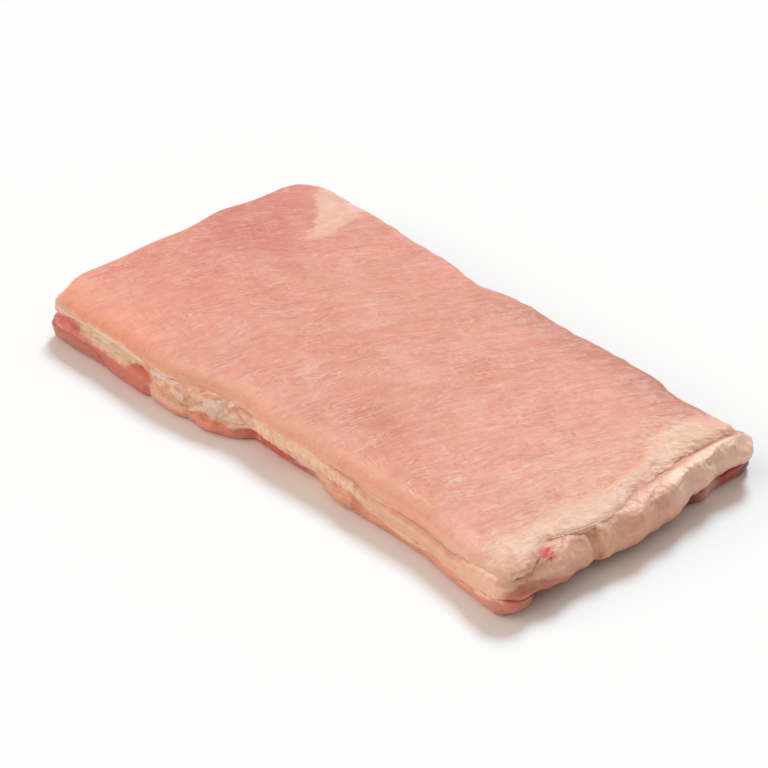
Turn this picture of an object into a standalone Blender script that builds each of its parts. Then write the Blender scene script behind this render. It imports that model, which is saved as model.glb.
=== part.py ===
"""Pork belly slab: a boneless, rindless belly lying flat, cut to a rough rectangle.

Three layers run through the slab, each its own closed solid:
  lean_top    the upper sheet of pale lean, whose rounded edge shows along the long sides
  fat_layer   the fat between the two lean layers, a thin strip along the sides that
              swells into soft hanging rolls at the +X end
  lean_base   the darker lean underneath, with lobes and a step along the -Y side

Frame: metres, +Z up, the slab rests on z = 0, +X along its length towards the fat end,
origin at the centre of the footprint. All sizes below are in millimetres.
"""

import bpy
import bmesh
import numpy as np

NAME = "pork_belly_slab"
MM = 0.001

# Driving sizes of the slab
LEFT_X = -265.5  # cut end at -X
SHEET_X = 230.0  # where the upper sheet ends in a lip
FAT_X = 249.0  # outermost swell of the fat rolls at +X
BASE_X = 236.0  # end of the lower lean, tucked under the fat
NEAR_Y = -108.0  # edge of the upper sheet on the -Y side
FAR_Y = 139.5  # edge of the upper sheet on the +Y side
THICK = 34.5  # nominal thickness
SHEET_T = 10.0  # thickness of the upper sheet
BASE_T = 12.5  # thickness of the lower lean
GAP = 0.3  # parting between two layers
CORNER_NL, CORNER_NR, CORNER_FR, CORNER_FL = 8.0, 11.0, 20.0, 36.0  # plan radii
EDGE_TOP = 10.0  # rounding of the upper sheet's rim
EDGE_BASE = 5.0  # rounding of the lower rim
# Lip of the upper sheet: (position across, reach beyond SHEET_X)
SHEET_LIP = [
    (-135.0, 12.0), (-112.0, 13.0), (-101.0, 11.0), (-90.0, 7.5), (-80.0, 4.0), (-71.0, 0.5),
    (-58.0, 3.5), (-46.0, 6.0), (-34.0, 11.0), (-22.0, 9.0), (-2.0, 6.0), (11.0, 2.0), (21.0, -0.5),
    (30.0, -0.5), (40.0, -1.5), (48.0, -3.5), (58.0, -4.5), (66.0, -6.5), (80.0, -9.0),
    (97.0, -10.0), (108.0, -9.0), (118.0, -7.0), (130.0, -5.0), (145.0, -4.0),
]
CENTRE_X, CENTRE_Y = -8.6, 7.1  # footprint centre in the working coordinates


def rise(x, a, b):
    """Smooth step from 0 at a to 1 at b."""
    t = np.clip((x - a) / (b - a), 0.0, 1.0)
    return t * t * (3.0 - 2.0 * t)


def hump(x, c, w):
    """Bell of height 1 at c, with half-width w."""
    return np.exp(-(((x - c) / w) ** 2))


def window(x, a, b, s):
    """1 between a and b, falling to 0 over s on each side."""
    return rise(x, a - s, a + s) * (1.0 - rise(x, b - s, b + s))


# --- plan outline -------------------------------------------------------------


def sheet_near(x):
    return (
        NEAR_Y
        - 16.5 * (1.0 - rise(x, -125.0, -38.0))
        - 4.0 * hump(x, 8.0, 45.0)
        - 8.0 * rise(x, 145.0, 240.0)
        + 0.8 * np.sin(x / 17.0)
    )


def sheet_far(x):
    return (
        FAR_Y
        + 4.5 * (1.0 - rise(x, -200.0, -120.0))
        - 7.5 * hump(x, -50.0, 20.0)
        - 6.0 * rise(x, 128.0, 166.0)
        - 2.5 * hump(x, 168.0, 14.0)
        + 0.7 * np.sin(x / 13.0 + 1.0)
    )


def end_left(y):
    return (
        LEFT_X
        + 8.5 * (1.0 - rise(y, -130.0, -85.0))
        - 4.0 * hump(y, 52.0, 28.0)
        + 0.8 * np.sin(y / 11.0)
    )


def sheet_end(y):
    """+X end of the upper sheet, where its lip meets the fat rolls in a crease."""
    along, reach = np.array(SHEET_LIP).T
    return np.interp(y, along, reach) + SHEET_X


def fat_end(y):
    """Swell of the fat rolls at +X, with a cleft between two of them."""
    return (
        FAT_X
        + 4.0 * hump(y, 6.0, 34.0)
        - 7.0 * rise(y, 42.0, 112.0)
        - 5.5 * hump(y, -41.0, 6.0)
        + 1.2 * np.sin(y / 7.0 + 0.5)
    )


def base_left(y):
    return end_left(y) + 5.0 * (1.0 - rise(y, -132.0, -108.0)) + 1.0


def base_end(y):
    return (
        BASE_X
        + 7.5 * (1.0 - rise(y, -114.0, -84.0))
        - 3.5 * hump(y, -43.0, 10.0)
        + 3.0 * hump(y, 86.0, 11.0)
        - 2.0 * rise(y, 100.0, 124.0)
        + 0.8 * np.sin(y / 6.0)
    )


def fat_swell(x):
    """How far the fat stands out past the sheet on the -Y side."""
    return (
        0.8
        - 2.5 * (1.0 - rise(x, -150.0, -125.0))
        + 6.5 * hump(x, -76.0, 26.0)
        + 1.0 * hump(x, 66.0, 15.0)
        + 2.6 * rise(x, 60.0, 82.0)
        + 1.2 * rise(x, 195.0, 240.0)
    )


def base_swell(x):
    """Lobes, the step and the loose fold of the lower lean on the -Y side."""
    return (
        6.0 * (1.0 - rise(x, -47.0, -35.0))
        + 8.5 * hump(x, -66.0, 17.0)
        - 2.5 * hump(x, -128.0, 7.0)
        + 2.5 * hump(x, -98.0, 18.0)
        - 3.5 * window(x, -38.0, 44.0, 6.0)
        + 3.0 * hump(x, 63.0, 14.0)
        + 5.0 * rise(x, 54.0, 76.0)
        + 2.0 * rise(x, 200.0, 238.0)
    )


def round_off(d, r):
    """Pull-back of a side at distance d from a plan corner of radius r."""
    t = np.clip(1.0 - d / r, 0.0, 1.0)
    return r * (1.0 - np.sqrt(1.0 - t * t))


def outline(layer):
    """The four plan sides of one layer as functions."""
    if layer == "lean_top":
        near, far, right = sheet_near, sheet_far, sheet_end
    elif layer == "fat_layer":
        near = lambda x: sheet_near(x) - fat_swell(x)
        far = lambda x: sheet_far(x) + 0.8 + 0.9 * np.sin(x / 9.0) + 5.0 * rise(x, 180.0, 225.0)
        right = fat_end
    else:
        near = lambda x: sheet_near(x) - base_swell(x)
        far = lambda x: sheet_far(x) + 2.0 + 2.5 * np.sin(x / 27.0) + 1.5 * rise(x, 190.0, 235.0)
        right = base_end
    return near, far, end_left if layer != "lean_base" else base_left, right


# --- heights ------------------------------------------------------------------


def top_height(x, y):
    return (
        THICK
        + 1.0 * (1.0 - rise(x, -250.0, -80.0))
        - 1.2 * rise(x, 120.0, 235.0) * (1.0 - rise(y, -100.0, 20.0))
        + 0.6 * np.sin(x / 48.0 + 0.4) * np.cos(y / 41.0)
        + 0.35 * np.sin(x / 21.0 - y / 30.0)
    )


def along_side(y):
    """1 at the -Y side, where the strips show, and 0 inside."""
    return 1.0 - rise(y, -104.0, -74.0)


def sheet_floor(x, y):
    """Underside of the upper sheet. It thins towards its lip and hangs lower on part of the -Y side."""
    return (
        top_height(x, y)
        - SHEET_T
        - 0.8 * np.sin(x / 37.0 + 1.0)
        + 3.6 * rise(x, 190.0, 236.0)
        - 5.0 * along_side(y) * window(x, 88.0, 198.0, 14.0)
    )


def base_top(x, y):
    """Upper side of the lower lean, higher where the fat strip is thin."""
    thin = 1.0 - rise(x, -158.0, -112.0)
    return (
        BASE_T
        - 9.0 * along_side(y) * (1.0 - rise(x, -264.0, -222.0))
        - 3.5 * along_side(y) * window(x, -100.0, -48.0, 12.0)
        - 4.5 * along_side(y) * window(x, 96.0, 212.0, 12.0)
        + 8.0 * thin * (1.0 - rise(y, -70.0, 40.0))
        + 3.0 * thin * rise(y, 60.0, 130.0)
        + 1.0 * np.sin(x / 33.0) * np.cos(y / 29.0)
        + 1.5 * rise(x, 205.0, 240.0) * (1.0 - rise(y, -118.0, -96.0))
        - 1.5 * rise(x, 160.0, 225.0)
    )


def roll_lift(x, y):
    """How far the fat rolls rise above the sheet's underside, outside its lip."""
    free = rise(x - np.maximum(sheet_end(y), sheet_end(y - 24.0)), 6.0, 9.0)
    return free * (top_height(x, y) - 2.0 - sheet_floor(x, y)) * rise(y, -94.0, -76.0)


def droop(y):
    """How far the fat rolls hang below the lean's upper side at +X."""
    return 8.0 * rise(y, -108.0, -62.0) * (1.0 - rise(y, 38.0, 66.0))


# --- one layer ----------------------------------------------------------------


def cuts(stops):
    """Even cuts between pairs of stops: (position, number of cells up to the next)."""
    out = []
    for (a, n), (b, _) in zip(stops[:-1], stops[1:]):
        out += [a + (b - a) * k / n for k in range(n)]
    out.append(stops[-1][0])
    return out


# Fractions of the length and of the width at which a layer is sliced
ALONG = cuts(
    [(0.0, 2), (0.010, 2), (0.034, 2), (0.10, 4), (0.25, 3), (0.37, 2), (0.405, 2),
     (0.430, 2), (0.455, 2), (0.58, 1), (0.60, 3), (0.675, 4), (0.90, 1), (0.925, 1),
     (0.952, 1), (0.972, 2), (0.990, 1), (1.0, 0)]
)
ACROSS = cuts(
    [(0.0, 2), (0.020, 1), (0.045, 1), (0.085, 3), (0.26, 1), (0.30, 1), (0.335, 1),
     (0.40, 4), (0.90, 1), (0.955, 1), (0.982, 1), (1.0, 0)]
)


def sliced_box(name, levels):
    """A unit cube sliced along, across and through, as the blank of a layer."""
    bm = bmesh.new()
    bmesh.ops.create_cube(bm, size=1.0)
    for axis, stops in enumerate((ALONG, ACROSS, levels)):
        normal = [0.0, 0.0, 0.0]
        normal[axis] = 1.0
        for s in stops[1:-1]:
            at = [0.0, 0.0, 0.0]
            at[axis] = s - 0.5
            bmesh.ops.bisect_plane(
                bm, geom=bm.verts[:] + bm.edges[:] + bm.faces[:], plane_co=at, plane_no=normal
            )
    for face in bm.faces[:]:  # every layer is split along the same diagonals
        corners = sorted(face.verts, key=lambda p: p.co.x + 1.7 * p.co.y + 2.3 * p.co.z)
        bmesh.utils.face_split(face, corners[0], corners[-1])
    mesh = bpy.data.meshes.new(name)
    bm.to_mesh(mesh)
    bm.free()
    return mesh


def rounded(e, h, re, rh):
    """Turns the square corner between a side (depth e) and a face (depth h) round."""
    a = np.clip(1.0 - e / re, 0.0, 1.0)
    b = np.clip(1.0 - h / rh, 0.0, 1.0)
    inside = (e < re) & (h < rh)
    e2 = re * (1.0 - a * np.sqrt(1.0 - 0.5 * b * b))
    h2 = rh * (1.0 - b * np.sqrt(1.0 - 0.5 * a * a))
    return np.where(inside, e2, e), np.where(inside, h2, h)


def shape_layer(layer, mesh):
    """Moves the points of the sliced blank to the form of one layer."""
    co = np.empty(len(mesh.vertices) * 3)
    mesh.vertices.foreach_get("co", co)
    u, v, w = (co.reshape(-1, 3) + 0.5).T
    near, far, left, right = outline(layer)

    # plan position: every layer shares one inner grid, and only the outer cells
    # reach for the layer's own sides, so that neighbours stay parallel inside
    y = (1.0 - v) * -118.0 + v * 140.0
    x = (1.0 - u) * end_left(y) + u * base_end(y)
    for _ in range(3):
        y = (1.0 - v) * sheet_near(x) + v * sheet_far(x)
        x = (1.0 - u) * end_left(y) + u * base_end(y)
    x = x + np.clip((u - 0.925) / 0.075, 0.0, 1.0) * (right(y) - base_end(y))
    x = x + np.clip(1.0 - u / 0.034, 0.0, 1.0) * (left(y) - end_left(y))
    to_near, to_far = np.clip(1.0 - v / 0.085, 0.0, 1.0), np.clip((v - 0.9) / 0.1, 0.0, 1.0)
    dl, dr = x - left(y), right(y) - x
    soft = 5.0 if layer == "fat_layer" else 0.0  # the fat's own corners are rounder
    near_cut = round_off(dl, CORNER_NL) + round_off(dr, CORNER_NR + soft)
    far_cut = round_off(dl, CORNER_FL) + round_off(dr, CORNER_FR + soft)
    y_near = near(x) + near_cut
    y_far = far(x) - far_cut
    y = y + (1.0 - v) * near_cut - v * far_cut
    y = y + to_near * (near(x) - sheet_near(x)) + to_far * (far(x) - sheet_far(x))

    # the upper part of the fat rolls stands back from the lower part at the +X end
    if layer == "fat_layer":
        reach = np.clip((u - 0.925) / 0.075, 0.0, 1.0)
        x = x - reach * 4.0 * rise(w, 0.45, 1.0)
        x = x - reach * 2.5 * hump(w, 0.55, 0.12) * hump(y, -75.0, 30.0)

    # floor and roof of the layer
    if layer == "lean_top":
        floor, roof = sheet_floor(x, y) + 0.5 * GAP, top_height(x, y)
        radii_low, radii_high = (1.5, 1.5), (EDGE_TOP, 0.86 * SHEET_T)
    elif layer == "fat_layer":
        outside = np.clip((u - 0.981) / 0.009, 0.0, 1.0)
        floor = base_top(x, y) + 0.5 * GAP + 0.35 * along_side(y) - droop(y) * outside
        roof = sheet_floor(x, y) - 0.5 * GAP - 0.4 * reach + roll_lift(x, y)
        thick = roof - floor
        radii_low, radii_high = (0.32 * thick, 0.42 * thick), (0.30 * thick, 0.42 * thick)
    else:
        floor, roof = 0.0 * x, base_top(x, y) - 0.5 * GAP
        radii_low, radii_high = (EDGE_BASE, EDGE_BASE), (2.5, 2.5)
    z = floor + w * (roof - floor)

    # rounding where the sides meet the floor and the roof
    x_right = right(y) if layer != "fat_layer" else x + (1.0 - u) * (right(y) - left(y))
    sides = [[y - y_near, 0], [y_far - y, 0], [x - left(y), 1], [x_right - x, 1]]
    sign = (1.0, -1.0, 1.0, -1.0)
    for k, (depth, is_end) in enumerate(sides):
        grow = 1.0
        if k == 3:
            grow = 1.7 if layer == "fat_layer" else 1.0
        for at_roof, (re, rh) in ((0, radii_low), (1, radii_high)):
            depth_z = roof - z if at_roof else z - floor
            e2, h2 = rounded(depth, depth_z, re * grow, rh)
            shift = (e2 - depth) * sign[k]
            if is_end:
                x = x + shift
            else:
                y = y + shift
            z = roof - h2 if at_roof else floor + h2
            depth = e2

    place = np.column_stack([x - CENTRE_X, y - CENTRE_Y, z]) * MM
    mesh.vertices.foreach_set("co", place.ravel())
    mesh.update()


def finish_material(name, colour, roughness):
    mat = bpy.data.materials.new(name)
    mat.use_nodes = True
    shader = mat.node_tree.nodes["Principled BSDF"]
    shader.inputs["Base Color"].default_value = (*colour, 1.0)
    shader.inputs["Roughness"].default_value = roughness
    shader.inputs["Metallic"].default_value = 0.0
    mat.diffuse_color = (*colour, 1.0)
    return mat


LAYERS = {
    "lean_base": ((0.45, 0.13, 0.10), 0.40, [0.0, 0.2, 0.5, 0.8, 1.0]),
    "fat_layer": ((0.80, 0.62, 0.48), 0.38, [0.0, 0.15, 0.32, 0.5, 0.7, 0.85, 1.0]),
    "lean_top": ((0.72, 0.33, 0.25), 0.36, [0.0, 0.15, 0.45, 0.75, 1.0]),
}


def main():
    for obj in list(bpy.data.objects):
        bpy.data.objects.remove(obj, do_unlink=True)
    home = bpy.data.collections.new(NAME)
    bpy.context.scene.collection.children.link(home)
    for layer, (colour, roughness, levels) in LAYERS.items():
        mesh = sliced_box(layer, levels)
        shape_layer(layer, mesh)
        mesh.materials.append(finish_material(layer + "_finish", colour, roughness))
        for face in mesh.polygons:
            face.use_smooth = True
        home.objects.link(bpy.data.objects.new(layer, mesh))


main()
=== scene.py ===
"""Looks of the pork belly slab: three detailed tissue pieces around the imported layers."""

import math

import bpy
import numpy as np
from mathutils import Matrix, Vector


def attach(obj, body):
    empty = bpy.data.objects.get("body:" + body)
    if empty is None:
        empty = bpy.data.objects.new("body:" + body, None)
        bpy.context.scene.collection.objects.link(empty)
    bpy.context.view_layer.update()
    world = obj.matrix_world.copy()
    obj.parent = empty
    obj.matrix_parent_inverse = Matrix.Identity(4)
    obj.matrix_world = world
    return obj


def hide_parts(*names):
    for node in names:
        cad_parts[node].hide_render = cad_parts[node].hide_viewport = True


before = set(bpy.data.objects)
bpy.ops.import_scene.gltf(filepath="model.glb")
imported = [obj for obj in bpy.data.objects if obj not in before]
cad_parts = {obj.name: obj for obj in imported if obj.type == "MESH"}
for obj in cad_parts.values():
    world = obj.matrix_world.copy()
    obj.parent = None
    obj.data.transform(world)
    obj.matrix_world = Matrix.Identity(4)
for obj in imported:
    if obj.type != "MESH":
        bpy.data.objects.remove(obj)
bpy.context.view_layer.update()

MM = 0.001

# Driving sizes, in millimetres, in the working coordinates of the slab
LEFT_X = -265.5
SHEET_X = 230.0
FAT_X = 249.0
BASE_X = 236.0
NEAR_Y = -108.0
FAR_Y = 139.5
THICK = 34.5
SHEET_T = 10.0
BASE_T = 12.5
GAP = 0.3
CORNER_NL, CORNER_NR, CORNER_FR, CORNER_FL = 8.0, 11.0, 20.0, 36.0
EDGE_TOP = 10.0
EDGE_BASE = 5.0
CENTRE_X, CENTRE_Y = -8.6, 7.1
# Lip of the upper sheet: (position across, reach beyond SHEET_X)
SHEET_LIP = [
    (-135.0, 12.0), (-112.0, 13.0), (-101.0, 11.0), (-90.0, 7.5), (-80.0, 4.0), (-71.0, 0.5),
    (-58.0, 3.5), (-46.0, 6.0), (-34.0, 11.0), (-22.0, 9.0), (-2.0, 6.0), (11.0, 2.0), (21.0, -0.5),
    (30.0, -0.5), (40.0, -1.5), (48.0, -3.5), (58.0, -4.5), (66.0, -6.5), (80.0, -9.0),
    (97.0, -10.0), (108.0, -9.0), (118.0, -7.0), (130.0, -5.0), (145.0, -4.0),
]


# --- small helpers ------------------------------------------------------------


def rise(x, a, b):
    t = np.clip((x - a) / (b - a), 0.0, 1.0)
    return t * t * (3.0 - 2.0 * t)


def hump(x, c, w):
    return np.exp(-(((x - c) / w) ** 2))


def window(x, a, b, s):
    return rise(x, a - s, a + s) * (1.0 - rise(x, b - s, b + s))


def lerp(a, b, t):
    return a + (b - a) * t


def srgb(r, g, b):
    c = np.array([r, g, b], float) / 255.0
    return np.where(c <= 0.04045, c / 12.92, ((c + 0.055) / 1.055) ** 2.4)


def hashed(ix, iy, iz, seed):
    m = np.uint64(0xFFFFFFFF)
    h = (
        ix.astype(np.uint64) * np.uint64(374761393)
        + iy.astype(np.uint64) * np.uint64(668265263)
        + iz.astype(np.uint64) * np.uint64(2246822519)
        + np.uint64(seed * 3266489917 & 0xFFFFFFFF)
    ) & m
    h = ((h ^ (h >> np.uint64(13))) * np.uint64(1274126177)) & m
    h = ((h ^ (h >> np.uint64(15))) * np.uint64(2654435761)) & m
    return (h ^ (h >> np.uint64(16))).astype(np.int64)


GRADS = np.array(
    [[1, 1, 0], [-1, 1, 0], [1, -1, 0], [-1, -1, 0], [1, 0, 1], [-1, 0, 1], [1, 0, -1], [-1, 0, -1],
     [0, 1, 1], [0, -1, 1], [0, 1, -1], [0, -1, -1], [1, 1, 0], [0, -1, 1], [-1, 1, 0], [0, -1, -1]],
    float,
)


def noise(x, y, z, seed=0):
    """Gradient noise, about -1 to 1."""
    x, y, z = np.broadcast_arrays(np.asarray(x, float), y, z)
    fx, fy, fz = np.floor(x), np.floor(y), np.floor(z)
    px, py, pz = x - fx, y - fy, z - fz
    ix, iy, iz = (f.astype(np.int64) + 100000 for f in (fx, fy, fz))
    sx, sy, sz = (t * t * t * (t * (t * 6 - 15) + 10) for t in (px, py, pz))
    out = np.zeros(x.shape)
    for dx in (0, 1):
        for dy in (0, 1):
            for dz in (0, 1):
                g = GRADS[hashed(ix + dx, iy + dy, iz + dz, seed) & 15]
                d = g[..., 0] * (px - dx) + g[..., 1] * (py - dy) + g[..., 2] * (pz - dz)
                out += (
                    d
                    * np.where(dx, sx, 1 - sx)
                    * np.where(dy, sy, 1 - sy)
                    * np.where(dz, sz, 1 - sz)
                )
    return out


def fbm(x, y, z, octaves=3, seed=0):
    total, amp = 0.0, 1.0
    for k in range(octaves):
        total = total + amp * noise(x * 2.0**k, y * 2.0**k, z * 2.0**k, seed + 17 * k)
        amp *= 0.5
    return total


# --- plan outline and heights, as in the construction ----------------------------


def sheet_near(x):
    return (
        NEAR_Y
        - 16.5 * (1.0 - rise(x, -125.0, -38.0))
        - 4.0 * hump(x, 8.0, 45.0)
        - 8.0 * rise(x, 145.0, 240.0)
        + 0.8 * np.sin(x / 17.0)
    )


def sheet_far(x):
    return (
        FAR_Y
        + 4.5 * (1.0 - rise(x, -200.0, -120.0))
        - 6.5 * hump(x, -50.0, 26.0)
        - 6.0 * rise(x, 128.0, 166.0)
        - 2.5 * hump(x, 168.0, 14.0)
        + 0.7 * np.sin(x / 13.0 + 1.0)
        + 0.5 * np.sin(x / 5.1 + 1.3 * np.sin(x / 8.3))
    )


def end_left(y):
    return (
        LEFT_X
        + 8.5 * (1.0 - rise(y, -130.0, -85.0))
        - 4.0 * hump(y, 52.0, 28.0)
        + 0.8 * np.sin(y / 11.0)
    )


def sheet_end(y):
    along, reach = np.array(SHEET_LIP).T
    return np.interp(y, along, reach) + SHEET_X + 3.0 * window(y, 62.0, 126.0, 8.0)


def fat_end(y):
    return (
        FAT_X
        + 4.0 * hump(y, 6.0, 34.0)
        - 7.0 * rise(y, 42.0, 112.0)
        - 5.5 * hump(y, -41.0, 6.0)
        + 1.2 * np.sin(y / 7.0 + 0.5)
    )


def base_left(y):
    return end_left(y) + 5.0 * (1.0 - rise(y, -132.0, -108.0)) + 1.0


def base_end(y):
    return (
        BASE_X
        + 7.5 * (1.0 - rise(y, -114.0, -84.0))
        - 3.5 * hump(y, -43.0, 10.0)
        + 3.0 * hump(y, 86.0, 11.0)
        - 2.0 * rise(y, 100.0, 124.0)
        + 0.8 * np.sin(y / 6.0)
    )


def fat_swell(x):
    return (
        0.8
        - 2.5 * (1.0 - rise(x, -150.0, -125.0))
        + 6.5 * hump(x, -76.0, 26.0)
        + 1.0 * hump(x, 66.0, 15.0)
        + 2.6 * rise(x, 60.0, 82.0)
        + 1.2 * rise(x, 195.0, 240.0)
    )


def base_swell(x):
    return (
        6.0 * (1.0 - rise(x, -47.0, -35.0))
        + 8.5 * hump(x, -66.0, 17.0)
        - 2.5 * hump(x, -128.0, 7.0)
        + 2.5 * hump(x, -98.0, 18.0)
        - 3.5 * window(x, -38.0, 44.0, 6.0)
        + 3.0 * hump(x, 63.0, 14.0)
        + 5.0 * rise(x, 54.0, 76.0)
        + 2.0 * rise(x, 200.0, 238.0)
    )


def round_off(d, r):
    t = np.clip(1.0 - d / r, 0.0, 1.0)
    return r * (1.0 - np.sqrt(1.0 - t * t))


def outline(layer):
    if layer == "lean_top":
        near, far, right = sheet_near, sheet_far, sheet_end
    elif layer == "fat_layer":
        near = lambda x: sheet_near(x) - fat_swell(x)
        far = lambda x: sheet_far(x) + 0.8 + 0.9 * np.sin(x / 9.0) + 5.0 * rise(x, 180.0, 225.0)
        right = fat_end
    else:
        near = lambda x: sheet_near(x) - base_swell(x)
        far = lambda x: sheet_far(x) + 2.0 + 2.5 * np.sin(x / 27.0) + 1.5 * rise(x, 190.0, 235.0)
        right = base_end
    return near, far, end_left if layer != "lean_base" else base_left, right


def top_height(x, y):
    return (
        THICK
        + 1.0 * (1.0 - rise(x, -250.0, -80.0))
        - 1.2 * rise(x, 120.0, 235.0) * (1.0 - rise(y, -100.0, 20.0))
        + 0.6 * np.sin(x / 48.0 + 0.4) * np.cos(y / 41.0)
        + 0.35 * np.sin(x / 21.0 - y / 30.0)
    )


def along_side(y):
    return 1.0 - rise(y, -104.0, -74.0)


def sheet_floor(x, y):
    return (
        top_height(x, y)
        - SHEET_T
        - 0.8 * np.sin(x / 37.0 + 1.0)
        + 3.6 * rise(x, 190.0, 236.0)
        - 5.0 * along_side(y) * window(x, 88.0, 198.0, 14.0)
    )


def base_top(x, y):
    thin = 1.0 - rise(x, -158.0, -112.0)
    return (
        BASE_T
        - 9.0 * along_side(y) * (1.0 - rise(x, -264.0, -222.0))
        - 3.5 * along_side(y) * window(x, -100.0, -48.0, 12.0)
        - 4.5 * along_side(y) * window(x, 96.0, 212.0, 12.0)
        + 8.0 * thin * (1.0 - rise(y, -70.0, 40.0))
        + 3.0 * thin * rise(y, 60.0, 130.0)
        + 1.0 * np.sin(x / 33.0) * np.cos(y / 29.0)
        + 2.5 * rise(x, 212.0, 236.0) * (1.0 - rise(y, -98.0, -78.0))
        - 1.5 * rise(x, 160.0, 225.0)
    )


def droop(y):
    return 8.0 * rise(y, -108.0, -62.0) * (1.0 - rise(y, 38.0, 66.0))


def rounded(e, h, re, rh):
    a = np.clip(1.0 - e / re, 0.0, 1.0)
    b = np.clip(1.0 - h / rh, 0.0, 1.0)
    inside = (e < re) & (h < rh)
    e2 = re * (1.0 - a * np.sqrt(1.0 - 0.5 * b * b))
    h2 = rh * (1.0 - b * np.sqrt(1.0 - 0.5 * a * a))
    return np.where(inside, e2, e), np.where(inside, h2, h)


def soft_side(x, near):
    """1 where a layer's side is flush with its neighbours, fading out towards the +X rolls."""
    return 1.0 - (rise(x, 226.0, 246.0) if near else rise(x, 200.0, 228.0))


def side_shift(x, y, z, near):
    """How far the common side wall stands out beyond the sheet, layer by layer."""
    to_fat = rise(sheet_floor(x, y) + 3.0 - z, 0.0, 7.0)
    to_base = rise(base_top(x, y) + 3.0 - z, 0.0, 6.0)
    if near:
        return -(fat_swell(x) * to_fat + (base_swell(x) - fat_swell(x)) * to_base)
    fat = 0.8 + 0.9 * np.sin(x / 9.0) + 5.0 * rise(x, 180.0, 225.0)
    base = 2.0 + 2.5 * np.sin(x / 27.0) + 1.5 * rise(x, 190.0, 235.0)
    return fat * to_fat + (base - fat) * to_base


def roll_lift(x, y):
    """Fat rolls rise outside the lip to nearly the height of the sheet, with a soft valley at it."""
    lip = x - sheet_end(y)
    free = rise(lip, -6.5, -0.5)
    high = top_height(x, y) + 0.1 + 0.9 * noise(y / 19.0, x / 30.0, 0.4, 93) - sheet_floor(x, y)
    high = high - (0.8 + 1.1 * rise(y, 25.0, 60.0)) * np.exp(-(((lip - 0.5) / 3.4) ** 2)) - 2.0 * rise(y, 114.0, 134.0)
    return free * high * rise(y, -96.0, -74.0)


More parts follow.
